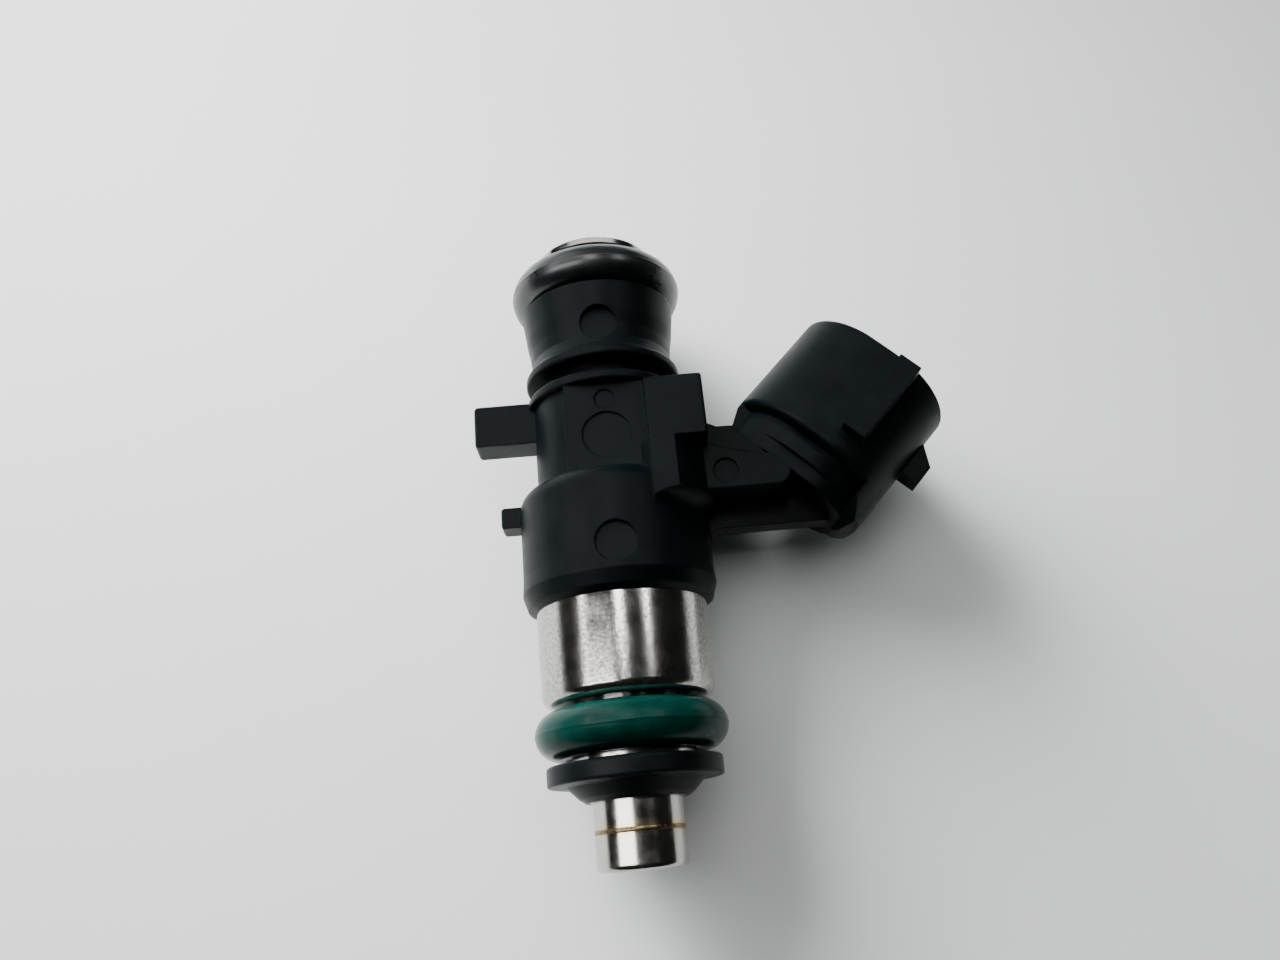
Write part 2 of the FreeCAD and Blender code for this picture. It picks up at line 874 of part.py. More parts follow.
def add_waist(body):
    """Flats on both faces of the waist, squared out on the side away from the connector."""
    for offset, backwards in (("waist_flat", False), ("-waist_flat", True)):
        sketch = side_sketch(body, offset)
        rectangle(sketch, "-body_radius", "body_radius", "shoulder", "flange_foot")
        pocket(body, sketch, "mark_length", backwards=not backwards)
    sketch = side_sketch(body)
    rectangle(sketch, "-waist_pad", "block_start", "cheek_foot", "flange_foot")
    pad(body, sketch, "2 * waist_flat", both_ways=True)


def add_lugs(body):
    for name in ("lug", "peg"):
        sketch = side_sketch(body)
        rectangle(sketch, f"-{name}_reach", "-lug_root", f"{name}_foot", f"{name}_top")
        pad(body, sketch, f"2 * {name}_half", both_ways=True)
        end = (0, f"{name}_reach")
        foot = (2, f"{name}_foot")
        top = (2, f"{name}_top")
        side = (1, f"{name}_half")
        corners = [edge_between(end, other) for other in (foot, top, side)]
        round_edges(body, f"{name}_round", any_of(*corners))


def add_cheek(body):
    """The round cheek under the block: a flat-sided sector that flares out of the body."""
    outline = [
        ("root_start", "cheek_foot"),
        ("cheek_radius", "cheek_foot"),
        ("cheek_radius", "block_foot"),
        ("root_start", "block_foot"),
    ]
    sector = revolve(body, polygon(side_sketch(body), outline))
    sector.Midplane = True
    sector.setExpression("Angle", formula("2 * cheek_swing"))
    doc.recompute()
    round_edges(body, "cheek_fillet", ring_edge("body_radius", "cheek_foot"))
    for side, backwards in (("block_half", True), ("-block_half", False)):
        sketch = side_sketch(body, side)
        rectangle(sketch, "block_start", "cheek_radius", "body_start", "block_foot")
        pocket(body, sketch, "mark_length", backwards=backwards)
    sketch = side_sketch(body)
    rectangle(sketch, "cheek_side", "cheek_radius + cheek_fillet", "body_start", "block_foot")
    pocket(body, sketch, "4 * block_half", both_ways=True)


def add_block(body):
    """The squared block beside the waist."""
    sketch = side_sketch(body)
    rectangle(sketch, "block_start", "block_end", "block_foot", "block_top")
    pad(body, sketch, "2 * block_half", both_ways=True)
    end, side, top = (0, "block_end"), (1, "block_half"), (2, "block_top")
    corners = [edge_between(end, side), edge_between(end, top), edge_between(side, top)]
    round_edges(body, "block_round", any_of(*corners))


def add_arm(body):
    """The arm to the connector: a thin web, a spine, a raised plate and a set-back face."""
    rear_low = "mouth_across + mouth_level - 2 * neck_depth * slant"
    sections = [
        (
            "web_width",
            [
                ("root_start", "web_foot"),
                (f"{rear_low} - web_foot", "web_foot"),
                (f"{rear_low} - plate_crown", "plate_crown"),
                ("root_start", "plate_crown"),
            ],
        ),
        (
            "spine_width",
            [
                ("root_start", "plate_foot"),
                ("plate_shoulder", "plate_foot"),
                ("plate_shoulder", "block_foot"),
                ("root_start", "block_foot"),
            ],
        ),
        (
            "plate_width",
            [
                ("root_start", "plate_foot"),
                ("plate_end", "plate_foot"),
                ("plate_end", f"{rear_low} - plate_end"),
                (f"{rear_low} - plate_shoulder_level", "plate_shoulder_level"),
                ("plate_shoulder", "plate_shoulder_level"),
                ("block_end + crease_run", "plate_crown"),
                ("block_end", "plate_crown + crease_run / 2"),
                ("root_start", "plate_crown + crease_run / 2"),
            ],
        ),
        (
            "face_width",
            [
                ("root_start", "plate_shoulder_level"),
                (f"{rear_low} - plate_shoulder_level", "plate_shoulder_level"),
                (f"{rear_low} - face_top", "face_top"),
                ("block_end + crease_run", "face_top"),
                ("block_end", "face_top + crease_run / 2"),
                ("root_start", "face_top + crease_run / 2"),
            ],
        ),
    ]
    for width, outline in sections:
        pad(body, polygon(side_sketch(body), outline), width, both_ways=True)
    round_edges(body, "plate_round", edge_between((0, "plate_end"), (2, "plate_foot")))
    sketch = side_sketch(body)
    foot = "web_foot - web_fillet"
    rectangle(sketch, "root_start", "body_radius + web_fillet", foot, "web_foot")
    pad(body, sketch, "web_width", both_ways=True)
    sketch = circle(side_sketch(body), "body_radius + web_fillet", foot, "web_fillet")
    pocket(body, sketch, "2 * web_width", both_ways=True)


def add_gusset(body):
    """The upright rib in the elbow between the arm's face and the back of the connector."""
    outline = [
        on_plug("gusset_near", "-gusset_edge"),
        on_plug("gusset_bend", "-gusset_edge"),
        on_plug("gusset_waist", "-gusset_reach"),
        on_plug("gusset_far - gusset_foot", "-gusset_reach"),
        on_plug("gusset_far", "gusset_foot - gusset_reach"),
        on_plug("gusset_far", "-gusset_inner"),
        on_plug("gusset_near", "-gusset_inner"),
    ]
    pad(body, polygon(side_sketch(body), outline), "gusset_width", both_ways=True)


def add_sill(body):
    """The tongue that carries the shell's lower wall back under the arm, tapered to a rounded tip."""
    sketch = plug_sketch(body, "sill_depth")
    capped_segment(sketch, "sill_start", "shell_half_span", "shell_end_radius")
    pad(body, sketch, "sill_depth - shell_depth + shell_round")
    corner = [
        on_plug("sill_depth + sill_round", "latch_foot - sill_round"),
        on_plug("sill_depth", "latch_foot - sill_round"),
        on_plug("sill_depth - sill_round / 4", "latch_foot - sill_round / 2"),
        on_plug("sill_depth - sill_round", "latch_foot"),
        on_plug("sill_depth - 2 * sill_round", "latch_reach"),
        on_plug("sill_depth + sill_round", "latch_reach"),
    ]
    pocket(body, polygon(side_sketch(body), corner), "2 * sill_taper_half", both_ways=True)
    for side in ("", "-"):
        sketch = new_sketch(body, "XY_Plane")
        turn = FreeCAD.Rotation(FreeCAD.Vector(0, 1, 0), size("sill_tilt"))
        sketch.AttachmentOffset = FreeCAD.Placement(FreeCAD.Vector(0, 0, 0), turn)
        sketch.setExpression("AttachmentOffset.Base.x", formula("mouth_across + sill_start * slant"))
        sketch.setExpression("AttachmentOffset.Base.z", formula("mouth_level - sill_start * slant"))
        tip = ("-sill_depth", f"{side}sill_tip_half")
        root = ("-sill_taper_depth", f"{side}sill_taper_half")
        beyond = ("-sill_depth", f"{side}sill_taper_half")
        pocket(body, polygon(sketch, [tip, root, beyond]), "2 * sill_round")


def add_connector(body):
    """The tilted shell with its stepped back, keys, latch ramp and socket."""
    for depth, length, span, radius in (
        ("neck_depth", "neck_depth - socket_depth", "neck_half_span", "neck_end_radius"),
        ("ring_far", "ring_far - ring_near", "ring_half_span", "ring_end_radius"),
        ("shell_depth", "shell_depth", "shell_half_span", "shell_end_radius"),
    ):
        pad(body, stadium(plug_sketch(body, depth), span, radius), length)
    for depth, reach in (("shell_depth", "shell_round"), ("", "lip_edge_round")):
        back = size(depth) if depth else 0.0
        round_edges(body, reach, oval_edge(back, "shell_half_span", "shell_end_radius"))
    add_gusset(body)
    add_sill(body)
    latch = [
        on_plug("latch_ramp_near", "latch_foot"),
        on_plug("latch_top_near", "latch_reach"),
        on_plug("latch_far", "latch_reach"),
        on_plug("latch_far", "latch_foot"),
    ]
    pad(body, polygon(side_sketch(body), latch), "latch_width", both_ways=True)
    half = "key_width / 2"
    sketch = plug_sketch(body, "key_far")
    rectangle(sketch, f"key_place - {half}", f"key_place + {half}", "-key_reach", "key_reach")
    pad(body, sketch, "key_far - key_near")
    socket = stadium(plug_sketch(body, "socket_depth"), "socket_half_span", "socket_end_radius")
    pocket(body, socket, "socket_depth + mark_length", backwards=True)


def cut_marks(body):
    """The shallow round marks that the mould leaves on the -Y face."""
    for name in ("neck", "flange", "waist", "body", "arm"):
        sketch = side_sketch(body, f"{name}_mark_floor")
        across = "arm_mark_across" if name == "arm" else "0"
        circle(sketch, across, f"{name}_mark_level", f"{name}_mark_radius")
        pocket(body, sketch, "mark_length", backwards=True)


def cut_core(body):
    """The space that the sleeve, the cup and everything in them fill."""
    outline = [
        ("0", "cup_foot"),
        ("cup_radius", "cup_foot"),
        ("cup_radius", "cup_top"),
        ("cup_radius - cup_wall", "cup_top"),
        ("cup_radius - cup_wall", "washer_top"),
        ("tube_radius", "washer_top"),
        ("tube_radius", "upper_seat_start - swage_length"),
        ("seal_seat_radius", "upper_seat_start"),
        ("seal_seat_radius", "inlet_level"),
        ("0", "inlet_level"),
    ]
    groove(body, polygon(side_sketch(body), outline))


def make_housing(terminals):
    moulding = new_body("moulding")
    add_round_body(moulding)
    add_waist(moulding)
    add_lugs(moulding)
    add_cheek(moulding)
    add_block(moulding)
    add_arm(moulding)
    add_connector(moulding)
    cut_marks(moulding)
    cut_core(moulding)
    pair = doc.addObject("Part::MultiFuse", "terminal_pair")
    pair.Shapes = terminals
    housing = doc.addObject("Part::Cut", "housing")
    housing.Base = moulding
    housing.Tool = pair
    doc.recompute()
    return keep(housing)


def make_inlet_filter():
    ring_ends = ("filter_ring_foot", "filter_top")
    keep(tube("inlet_filter_ring", "filter_ring_bore", "filter_ring_radius", *ring_ends))
    keep(tube("inlet_filter_mesh", "mesh_bore", "mesh_radius", "basket_cap_top", "mesh_top"))
    basket = tube("inlet_filter_body", "basket_bore", "basket_radius", "basket_ring_foot", "filter_top")
    sketch = new_sketch(basket, "XY_Plane")
    sketch.setExpression("AttachmentOffset.Base.z", formula("basket_foot"))
    half = "basket_bar_width / 2"
    rectangle(sketch, "basket_bar_inner", "basket_bar_outer", f"-{half}", half)
    bar = pad(basket, sketch, "filter_top - basket_foot")
    pattern = basket.newObject("PartDesign::PolarPattern", "inlet_filter_bars")
    pattern.Originals = [bar]
    pattern.Axis = (sketch, ["N_Axis"])
    pattern.Angle = 360
    pattern.setExpression("Occurrences", formula("basket_bar_count"))
    basket.Tip = pattern
    doc.recompute()
    sketch = new_sketch(basket, "XY_Plane")
    sketch.setExpression("AttachmentOffset.Base.z", formula("basket_foot"))
    pad(basket, circle(sketch, "0", "0", "basket_bar_outer"), "basket_cap_top - basket_foot")
    keep(basket)


def check_and_export():
    """Stop on any failed object or bad shape, then write one STEP file per piece."""
    doc.recompute()
    for item in doc.Objects:
        if "Invalid" in item.State or "Error" in item.State:
            raise RuntimeError(f"{item.Name} failed: {item.State}")
    os.makedirs("parts", exist_ok=True)
    for piece in pieces:
        shape = piece.Shape
        if shape.isNull() or not shape.isValid() or len(shape.Solids) != 1:
            raise RuntimeError(f"{piece.Label} has no single valid solid")
        shape.exportStep(os.path.join("parts", f"{piece.Label}.step"))
        print(f"{piece.Label:24s} {shape.Volume:10.3f} mm3")


fill_sheet()
make_valve_sleeve()
make_orifice_plate()
make_valve_seat()
make_valve_ball()
make_needle_tube()
make_armature()
make_return_spring()
make_inner_pole()
make_stop_ring()
make_adjusting_tube()
make_magnet_housing()
make_coil_bobbin()
make_coil_winding()
make_flux_washer()
make_backing_ring()
make_retainer_collar()
make_o_ring("lower_o_ring", "lower_seal_level")
make_o_ring("upper_o_ring", "upper_seal_level")
blades = [make_terminal("terminal_blade_left", -1), make_terminal("terminal_blade_right", 1)]
make_housing(blades)
make_inlet_filter()
check_and_export()
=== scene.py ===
"""Looks for the fuel injector: materials, seals, weld bead, camera, light and floor round the CAD frame."""

import json
import math

import bmesh
import bpy
from mathutils import Euler, Matrix, Vector


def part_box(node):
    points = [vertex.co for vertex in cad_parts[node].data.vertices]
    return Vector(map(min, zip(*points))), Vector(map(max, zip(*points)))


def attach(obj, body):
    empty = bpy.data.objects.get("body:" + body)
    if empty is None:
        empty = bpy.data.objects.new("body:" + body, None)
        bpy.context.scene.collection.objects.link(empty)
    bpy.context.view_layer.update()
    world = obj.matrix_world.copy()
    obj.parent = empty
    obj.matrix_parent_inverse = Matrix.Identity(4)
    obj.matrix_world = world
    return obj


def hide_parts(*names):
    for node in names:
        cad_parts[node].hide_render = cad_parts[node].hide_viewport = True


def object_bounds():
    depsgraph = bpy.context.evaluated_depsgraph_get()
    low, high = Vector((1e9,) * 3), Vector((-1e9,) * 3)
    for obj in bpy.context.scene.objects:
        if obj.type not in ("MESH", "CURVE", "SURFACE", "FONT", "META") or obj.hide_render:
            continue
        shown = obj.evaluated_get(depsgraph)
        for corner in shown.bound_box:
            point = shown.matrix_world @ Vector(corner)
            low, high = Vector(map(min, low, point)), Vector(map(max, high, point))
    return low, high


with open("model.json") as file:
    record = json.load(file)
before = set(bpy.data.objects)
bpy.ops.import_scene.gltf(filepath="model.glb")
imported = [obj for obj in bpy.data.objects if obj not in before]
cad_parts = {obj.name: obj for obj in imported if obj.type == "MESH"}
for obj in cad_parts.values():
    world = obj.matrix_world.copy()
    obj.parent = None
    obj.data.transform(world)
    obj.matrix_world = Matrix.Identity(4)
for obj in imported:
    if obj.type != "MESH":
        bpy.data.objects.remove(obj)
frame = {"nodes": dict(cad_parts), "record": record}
cad_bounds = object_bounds()
MM = 0.001
MIDDLE = Vector((0.006, 0.0, 0.022))
WELD_LEVEL = 2.72 * MM


# ---------------------------------------------------------------- shader building blocks


class Shader:
    """A material with its Principled shader and a few ways to add nodes to it."""

    def __init__(self, name, metallic=0.0, roughness=0.5):
        self.material = bpy.data.materials.new(name)
        self.material.use_nodes = True
        self.nodes = self.material.node_tree.nodes
        self.links = self.material.node_tree.links
        self.bsdf = self.nodes["Principled BSDF"]
        self.bsdf.inputs["Metallic"].default_value = metallic
        self.bsdf.inputs["Roughness"].default_value = roughness
        self.place = self.nodes.new("ShaderNodeTexCoord").outputs["Object"]

    def set(self, **values):
        """Set uniform values on the shader's own sockets; underscores stand for spaces."""
        for name, value in values.items():
            self.bsdf.inputs[name.replace("_", " ")].default_value = value
        return self

    def squashed(self, scale):
        """Object coordinates scaled along each axis, for streaks and brushed lines."""
        node = self.nodes.new("ShaderNodeMapping")
        node.inputs["Scale"].default_value = scale
        self.links.new(self.place, node.inputs["Vector"])
        return node.outputs["Vector"]

    def noise(self, feature, detail=4.0, rough=0.55, place=None):
        """Noise whose features are about this many metres across."""
        node = self.nodes.new("ShaderNodeTexNoise")
        node.inputs["Scale"].default_value = 1.0 / feature
        node.inputs["Detail"].default_value = detail
        node.inputs["Roughness"].default_value = rough
        self.links.new(place or self.place, node.inputs["Vector"])
        return node.outputs["Fac"]

    def cells(self, feature):
        """Distance to cell centres, for pits and crystals about this many metres across."""
        node = self.nodes.new("ShaderNodeTexVoronoi")
        node.inputs["Scale"].default_value = 1.0 / feature
        self.links.new(self.place, node.inputs["Vector"])
        return node.outputs["Distance"]

    def ridges(self, pitch, axis="Z"):
        """Evenly spaced ridges along one axis."""
        node = self.nodes.new("ShaderNodeTexWave")
        node.wave_type = "BANDS"
        node.bands_direction = axis
        node.inputs["Scale"].default_value = math.pi / (10.0 * pitch)
        self.links.new(self.place, node.inputs["Vector"])
        return node.outputs["Fac"]

    def level(self):
        """Height above the nozzle tip, in metres."""
        node = self.nodes.new("ShaderNodeSeparateXYZ")
        self.links.new(self.place, node.inputs["Vector"])
        return node.outputs["Z"]

    def spread(self, value, low, high, start=0.0, end=1.0):
        """Remap a value from low..high to start..end."""
        node = self.nodes.new("ShaderNodeMapRange")
        for socket, number in zip(("From Min", "From Max", "To Min", "To Max"), (low, high, start, end)):
            node.inputs[socket].default_value = number
        self.links.new(value, node.inputs["Value"])
        return node.outputs["Result"]

    def product(self, first, second):
        node = self.nodes.new("ShaderNodeMath")
        node.operation = "MULTIPLY"
        self.links.new(first, node.inputs[0])
        self.links.new(second, node.inputs[1])
        return node.outputs["Value"]

    def colours(self, value, stops):
        """A colour ramp given as (position, (r, g, b)) stops."""
        node = self.nodes.new("ShaderNodeValToRGB")
        ramp = node.color_ramp
        for _ in range(len(stops) - len(ramp.elements)):
            ramp.elements.new(0.5)
        for element, (position, colour) in zip(ramp.elements, stops):
            element.position = position
            element.color = (*colour, 1.0)
        self.links.new(value, node.inputs["Fac"])
        return node.outputs["Color"]

    def mixed(self, factor, first, second):
        node = self.nodes.new("ShaderNodeMix")
        node.data_type = "RGBA"
        self.links.new(factor, node.inputs["Factor"])
        self.links.new(first, node.inputs["A"])
        self.links.new(second, node.inputs["B"])
        return node.outputs["Result"]

    def paint(self, colour):
        self.links.new(colour, self.bsdf.inputs["Base Color"])
        return self

    def roughen(self, value, low, high):
        self.links.new(self.spread(value, 0.3, 0.7, low, high), self.bsdf.inputs["Roughness"])
        return self

    def bumps(self, *layers, edge=None):
        """Stack bump layers given as (height, strength, depth in metres), over worn edges if asked."""
        below = None
        if edge:
            worn = self.nodes.new("ShaderNodeBevel")
            worn.samples = 4
            worn.inputs["Radius"].default_value = edge
            below = worn.outputs["Normal"]
        for height, strength, depth in layers:
            node = self.nodes.new("ShaderNodeBump")
            node.inputs["Strength"].default_value = strength
            node.inputs["Distance"].default_value = depth
            self.links.new(height, node.inputs["Height"])
            if below:
                self.links.new(below, node.inputs["Normal"])
            below = node.outputs["Normal"]
        self.links.new(below, self.bsdf.inputs["Normal"])
        return self


# ---------------------------------------------------------------- materials


def moulded_plastic(name, dark, pale, grain, rough):
    """Spark-eroded moulded plastic: fine grain, cloudy sheen and faint rubbed patches."""
    shader = Shader(name).set(Specular_IOR_Level=0.09)
    clouds = shader.noise(2.6 * MM, detail=6.0, rough=0.6)
    fine = shader.noise(0.11 * MM, detail=3.0, rough=0.6)
    pits = shader.cells(0.16 * MM)
    shader.paint(shader.colours(clouds, [(0.3, dark), (0.72, pale)]))
    shader.roughen(clouds, rough - 0.06, rough + 0.07)
    layers = (fine, grain, 0.02 * MM), (pits, 0.5 * grain, 0.02 * MM), (clouds, 0.15, 0.03 * MM)
    shader.bumps(*layers, edge=0.20 * MM)
    return shader.material


def plated_steel(name):
    """Satin nickel plate on a drawn steel cup, with fine speckle and drawing lines."""
    shader = Shader(name, metallic=1.0)
    speckle = shader.noise(0.24 * MM, detail=5.0, rough=0.75)
    haze = shader.noise(1.8 * MM, detail=5.0)
    lines = shader.noise(0.35 * MM, detail=3.0, place=shader.squashed((1.0, 1.0, 0.03)))
    shader.paint(shader.colours(speckle, [(0.36, (0.27, 0.26, 0.245)), (0.64, (0.72, 0.70, 0.66))]))
    shader.roughen(haze, 0.13, 0.21)
    shader.bumps((speckle, 0.45, 0.008 * MM), (lines, 0.35, 0.008 * MM))
    return shader.material


def drawn_steel(name, low=0.12, high=0.24, tone=(0.56, 0.54, 0.51), tint_level=None):
    """Drawn stainless steel; a weld at tint_level leaves a straw and brown heat tint."""
    shader = Shader(name, metallic=1.0)
    smear = shader.noise(0.9 * MM, detail=6.0)
    rings = shader.noise(0.05 * MM, detail=2.0, place=shader.squashed((0.02, 0.02, 1.0)))
    lines = shader.noise(0.12 * MM, detail=2.0, place=shader.squashed((1.0, 1.0, 0.05)))
    dark = tuple(0.86 * part for part in tone)
    steel = shader.colours(smear, [(0.3, dark), (0.7, tone)])
    if tint_level:
        reach = 0.75 * MM
        nearness = shader.spread(shader.level(), tint_level - reach, tint_level + reach)
        straw = shader.colours(
            nearness,
            [
                (0.0, tone),
                (0.26, (0.60, 0.55, 0.46)),
                (0.42, (0.52, 0.36, 0.20)),
                (0.50, (0.30, 0.20, 0.17)),
                (0.60, (0.62, 0.50, 0.24)),
                (0.78, (0.66, 0.58, 0.42)),
                (1.0, tone),
            ],
        )
        worn = shader.spread(shader.noise(0.8 * MM), 0.35, 0.6, 0.6, 1.0)
        steel = shader.mixed(worn, steel, straw)
    shader.paint(steel)
    shader.roughen(smear, low, high)
    shader.bumps((rings, 0.10, 0.004 * MM), (lines, 0.12, 0.004 * MM))
    return shader.material


def weld_steel(name):
    """The rippled, heat-darkened bead of a laser weld."""
    shader = Shader(name, metallic=1.0)
    ripple = shader.noise(0.15 * MM, detail=4.0)
    burnt = [(0.3, (0.10, 0.07, 0.05)), (0.55, (0.28, 0.21, 0.12)), (0.8, (0.42, 0.36, 0.26))]
    shader.paint(shader.colours(ripple, burnt))
    shader.roughen(ripple, 0.22, 0.40)
    shader.bumps((ripple, 0.5, 0.02 * MM))
    return shader.material


def plain_metal(name, dark, pale, low, high):
    """Turned or stamped metal with fine tooling marks."""
    shader = Shader(name, metallic=1.0)
    smear = shader.noise(1.2 * MM, detail=5.0)
    tooling = shader.noise(0.12 * MM, detail=3.0, place=shader.squashed((0.05, 0.05, 1.0)))
    shader.paint(shader.colours(smear, [(0.3, dark), (0.7, pale)]))
    shader.roughen(smear, low, high)
    shader.bumps((tooling, 0.3, 0.006 * MM))
    return shader.material


def wound_copper(name):
    """Enamelled copper wire, turn beside turn."""
    shader = Shader(name, metallic=1.0)
    turns = shader.ridges(0.14 * MM)
    tone = shader.noise(1.0 * MM)
    shader.paint(shader.colours(tone, [(0.3, (0.42, 0.14, 0.05)), (0.7, (0.72, 0.30, 0.12))]))
    shader.roughen(tone, 0.22, 0.34)
    shader.bumps((turns, 0.9, 0.05 * MM))
    return shader.material


def woven_mesh(name):
    """Fine filter cloth: threads along the axis crossed by threads round it."""
    shader = Shader(name)
    across = shader.ridges(0.11 * MM, "Z")
    along = shader.ridges(0.11 * MM, "X")
    weave = shader.product(across, along)
    shader.paint(shader.colours(weave, [(0.2, (0.16, 0.15, 0.12)), (0.6, (0.62, 0.60, 0.52))]))
    shader.roughen(weave, 0.5, 0.7)
    shader.bumps((weave, 0.8, 0.04 * MM))
    return shader.material


def moulded_rubber(name, deep, pale, low, high, shine):
    """Satin moulded seal rubber with a little bloom and lint-sized specks."""
    shader = Shader(name).set(Specular_IOR_Level=shine)
    bloom = shader.noise(1.5 * MM, detail=6.0, rough=0.62)
    specks = shader.noise(0.09 * MM, detail=3.0)
    shader.paint(shader.colours(bloom, [(0.3, deep), (0.75, pale)]))
    shader.roughen(bloom, low, high)
    shader.bumps((specks, 0.22, 0.01 * MM), (bloom, 0.12, 0.03 * MM))
    return shader.material


MATERIALS = {
    "housing_plastic": moulded_plastic(
        "housing_plastic", (0.0009, 0.0021, 0.0025), (0.0024, 0.0040, 0.0046), grain=0.45, rough=0.40
    ),
    "seal_plastic": moulded_plastic(
        "seal_plastic", (0.0012, 0.0024, 0.0028), (0.0026, 0.0042, 0.0048), grain=0.22, rough=0.36
    ),
    "nickel_steel": plated_steel("nickel_steel"),
    "stainless": drawn_steel("stainless", tint_level=WELD_LEVEL),
    "hard_steel": drawn_steel("hard_steel", low=0.05, high=0.12, tone=(0.70, 0.70, 0.70)),
    "soft_iron": plain_metal("soft_iron", (0.27, 0.27, 0.27), (0.44, 0.44, 0.43), low=0.30, high=0.45),
    "spring_steel": plain_metal("spring_steel", (0.36, 0.36, 0.38), (0.55, 0.55, 0.57), low=0.22, high=0.34),
    "copper_wire": wound_copper("copper_wire"),
    "bobbin_plastic": moulded_plastic(
        "bobbin_plastic", (0.17, 0.13, 0.08), (0.26, 0.20, 0.13), grain=0.3, rough=0.50
    ),
    "tinned_brass": plain_metal(
        "tinned_brass", (0.56, 0.49, 0.33), (0.72, 0.67, 0.52), low=0.20, high=0.34
    ),
    "brass": plain_metal("brass", (0.55, 0.41, 0.18), (0.72, 0.57, 0.28), low=0.20, high=0.32),
    "green_rubber": moulded_rubber(
        "green_rubber", (0.0004, 0.020, 0.015), (0.0008, 0.034, 0.026), low=0.18, high=0.28, shine=0.14
    ),
    "black_rubber": moulded_rubber(
        "black_rubber", (0.0026, 0.0040, 0.0045), (0.0055, 0.0075, 0.0082), low=0.26, high=0.36, shine=0.80
    ),
    "filter_plastic": moulded_plastic(
        "filter_plastic", (0.42, 0.39, 0.30), (0.58, 0.55, 0.45), grain=0.3, rough=0.50
    ),
    "filter_mesh": woven_mesh("filter_mesh"),
}


def dress_nodes():
    """Give every CAD node the material of its slot."""
    slots = {part["node"]: part["material_slot"] for part in frame["record"]["subparts"]}
    for name, node in frame["nodes"].items():
        node.data.materials.clear()
        node.data.materials.append(MATERIALS[slots[name]])


# ---------------------------------------------------------------- pieces


def lathe(name, outline, turns=180):
    """A closed ring mesh from an outline of (radius, level) points in metres, turned round the axis."""
    mesh = bpy.data.meshes.new(name)
    form = bmesh.new()
    rings = []
    for step in range(turns):
        angle = 2.0 * math.pi * step / turns
        along = (math.cos(angle), math.sin(angle))
        rings.append([form.verts.new((r * along[0], r * along[1], z)) for r, z in outline])
    count = len(outline)
    for step, ring in enumerate(rings):
        following = rings[(step + 1) % turns]
        for index in range(count):
            after = (index + 1) % count
            form.faces.new((ring[index], following[index], following[after], ring[after]))
    bmesh.ops.recalc_face_normals(form, faces=form.faces)
    for face in form.faces:
        face.smooth = True
    form.to_mesh(mesh)
    form.free()
    piece = bpy.data.objects.new(name, mesh)
    bpy.context.scene.collection.objects.link(piece)
    return piece


def seal_outline(centre, level, wire, flash_height, flash_width, points=144):
    """A round section with the thin moulding flash that runs round its outer and inner equator."""
    outline = []
    for step in range(points):
        angle = 2.0 * math.pi * step / points
        off_equator = wire * math.sin(angle)
        flash = flash_height * math.exp(-((off_equator / flash_width) ** 2))
        radius = wire + flash
        outline.append((centre + radius * math.cos(angle), level + radius * math.sin(angle)))
    return outline


def add_seal(node, slot):
    """Stand a seal with its moulding flash in for the plain CAD ring."""
    low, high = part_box(node)
    wire = 0.5 * (high.z - low.z)
    flash = 0.035 * MM
    flash_width = 0.09 * MM
    centre = high.x - wire - flash
    outline = seal_outline(centre, 0.5 * (low.z + high.z), wire, flash, flash_width)
    piece = lathe(f"{node}_moulded", outline)
    piece.data.materials.append(MATERIALS[slot])
    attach(piece, "injector")
    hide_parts(node)


def add_weld_bead():
    """The laser weld round the nozzle tube: a low rounded bead that is rooted inside the wall."""
    tube = 3.30 * MM
    width = 0.32 * MM
    rise = 0.024 * MM
    inside = tube - 0.10 * MM
    steps = 12
    crown = []
    for step in range(steps + 1):
        radius = tube + rise * math.sin(math.pi * step / steps)
        crown.append((radius, WELD_LEVEL + width * (step / steps - 0.5)))
    outline = [(inside, WELD_LEVEL - 0.5 * width), *crown, (inside, WELD_LEVEL + 0.5 * width)]
    piece = lathe("weld_bead", outline)
    piece.data.materials.append(weld_steel("weld_steel"))
    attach(piece, "injector")


# ---------------------------------------------------------------- stage


def add_floor():
    """A pale table behind the injector, seen from its front only so that it hides nothing from behind."""
    table = cad_bounds[1][1] + 0.1 * MM
    half = 0.6
    mesh = bpy.data.meshes.new("table")
    corners = [(-half, table, -half), (half, table, -half), (half, table, half), (-half, table, half)]
    mesh.from_pydata(corners, [], [(0, 1, 2, 3)])
    floor = bpy.data.objects.new("table", mesh)
    bpy.context.scene.collection.objects.link(floor)
    shader = Shader("table_top", roughness=0.6)
    tone = shader.noise(60.0 * MM, detail=3.0)
    tooth = shader.noise(0.5 * MM, detail=4.0)
    shader.paint(shader.colours(tone, [(0.3, (0.74, 0.76, 0.755)), (0.7, (0.78, 0.80, 0.795))]))
    shader.bumps((tooth, 0.10, 0.02 * MM))
    side = shader.nodes.new("ShaderNodeNewGeometry").outputs["Backfacing"]
    clear = shader.nodes.new("ShaderNodeBsdfTransparent")
    mix = shader.nodes.new("ShaderNodeMixShader")
    shader.links.new(side, mix.inputs["Fac"])
    shader.links.new(shader.bsdf.outputs["BSDF"], mix.inputs[1])
    shader.links.new(clear.outputs["BSDF"], mix.inputs[2])
    shader.links.new(mix.outputs["Shader"], shader.nodes["Material Output"].inputs["Surface"])
    floor.data.materials.append(shader.material)


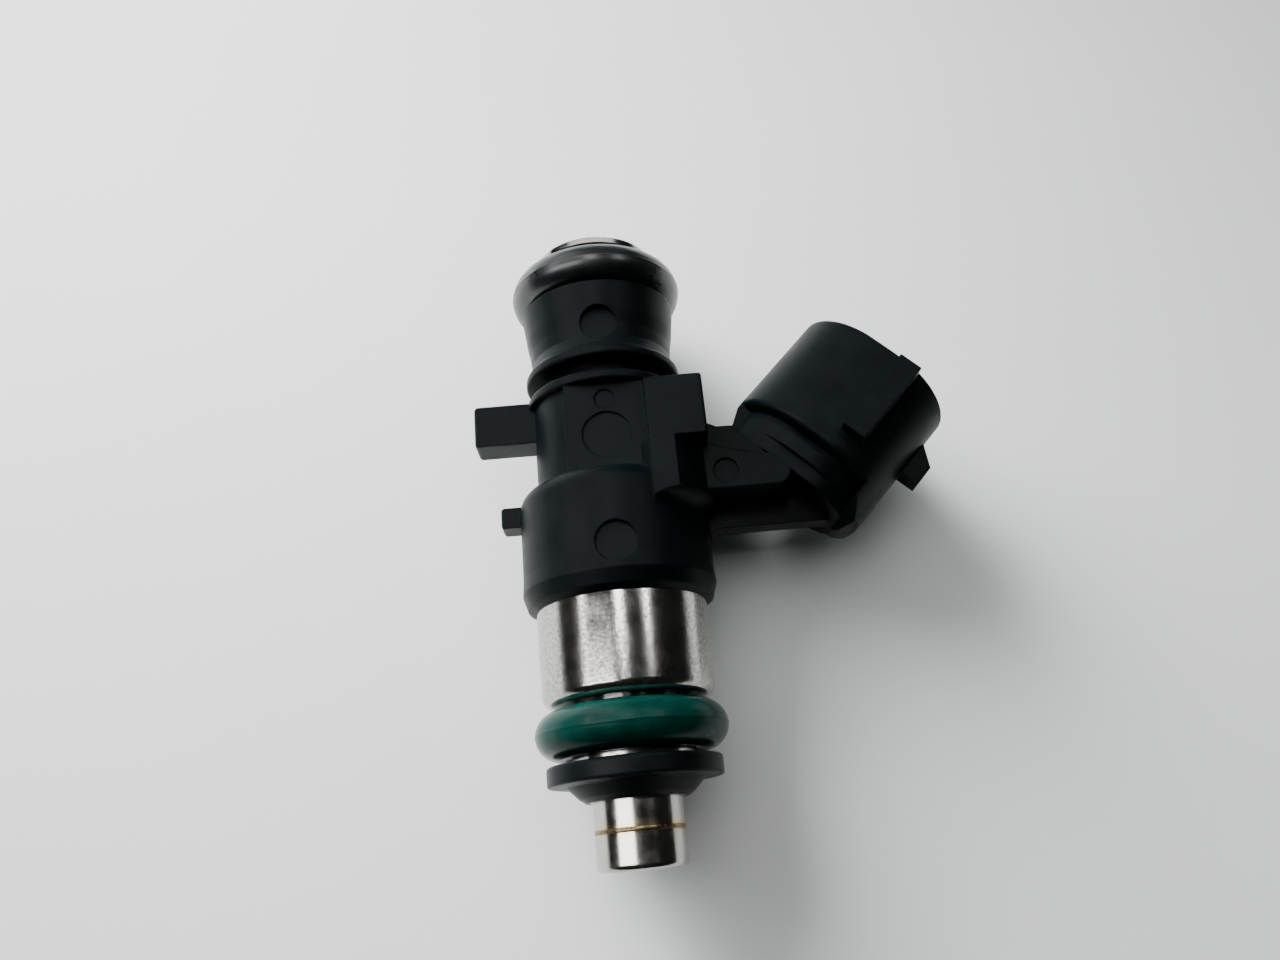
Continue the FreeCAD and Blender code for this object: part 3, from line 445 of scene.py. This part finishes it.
def add_world():
    """A dim room for light and reflections, with a pale backdrop that only the camera sees."""
    world = bpy.data.worlds.new("studio")
    world.use_nodes = True
    nodes = world.node_tree.nodes
    links = world.node_tree.links
    room = nodes["Background"]
    backdrop = nodes.new("ShaderNodeBackground")
    for background, strength in ((room, 0.015), (backdrop, 0.8)):
        background.inputs["Color"].default_value = (0.86, 0.90, 0.90, 1.0)
        background.inputs["Strength"].default_value = strength
    choice = nodes.new("ShaderNodeMixShader")
    links.new(nodes.new("ShaderNodeLightPath").outputs["Is Camera Ray"], choice.inputs["Fac"])
    links.new(room.outputs["Background"], choice.inputs[1])
    links.new(backdrop.outputs["Background"], choice.inputs[2])
    links.new(choice.outputs["Shader"], nodes["World Output"].inputs["Surface"])
    bpy.context.scene.world = world


def add_panel(name, bearing, climb, distance, size, power, mirrored=True, target=MIDDLE, spread=180.0):
    """A rectangular light placed round the injector and turned to its target.

    Bearing 0 is straight in front, positive to the right. A mirrored panel shows only as a
    reflection; one that isn't lights the surfaces and leaves no reflection.
    """
    turn = math.radians(bearing)
    lift = math.radians(climb)
    aim = Vector((math.sin(turn) * math.cos(lift), -math.cos(turn) * math.cos(lift), math.sin(lift)))
    light = bpy.data.lights.new(name, "AREA")
    light.shape = "RECTANGLE"
    light.size, light.size_y = size
    light.energy = power
    light.spread = math.radians(spread)
    panel = bpy.data.objects.new(name, light)
    panel.visible_glossy = mirrored
    panel.visible_diffuse = not mirrored
    panel.location = MIDDLE + distance * aim
    back = panel.location - target
    panel.rotation_euler = back.to_track_quat("Z", "Y").to_euler()
    bpy.context.scene.collection.objects.link(panel)


def add_lights():
    """Two panels light the table and the injector; the windows are what its glossy surfaces reflect."""
    upper_left = Vector((-0.055, 0.007, 0.075))
    add_panel(
        "table_light", -66.0, 46.0, 0.21, (0.20, 0.17), 0.62, mirrored=False, target=upper_left, spread=75.0
    )
    add_panel("table_fill", 0.0, 20.0, 0.60, (0.70, 0.60), 2.4, mirrored=False)
    windows = (
        # name, bearing and climb in degrees, distance, width and height in metres, watts
        ("upper_glow", -60.0, 55.0, 0.60, (0.40, 0.25), 0.45),
        ("rim_window", 0.0, 38.0, 0.55, (0.85, 0.16), 0.60),
        ("tip_window", -37.0, 0.0, 0.55, (0.42, 0.14), 1.35),
        ("left_window", -53.0, 20.0, 0.55, (0.06, 0.20), 0.24),
        ("middle_window", -4.0, 17.0, 0.55, (0.055, 0.12), 0.45),
        ("right_window", 32.0, 17.0, 0.55, (0.045, 0.12), 0.22),
    )
    for name, bearing, climb, distance, size, power in windows:
        add_panel(name, bearing, climb, distance, size, power)


def add_camera():
    """The camera stands level with the nozzle tip and looks up towards the inlet."""
    climb = math.radians(20.89)
    swing = math.radians(1.77)
    roll = math.radians(5.43)
    stand = Matrix.Translation((0.0, -76.52 * MM, 0.46 * MM))
    lens = bpy.data.cameras.new("camera")
    lens.sensor_width = 36.0
    lens.lens = 28.125
    lens.clip_start = 0.001
    camera = bpy.data.objects.new("camera", lens)
    turn = Euler((math.pi / 2 + climb, 0.0, -swing)).to_matrix() @ Matrix.Rotation(-roll, 3, "Z")
    camera.matrix_world = stand @ turn.to_4x4()
    bpy.context.scene.collection.objects.link(camera)
    bpy.context.scene.camera = camera


dress_nodes()
add_seal("lower_o_ring", "green_rubber")
add_seal("upper_o_ring", "black_rubber")
add_weld_bead()
add_floor()
add_world()
add_lights()
add_camera()
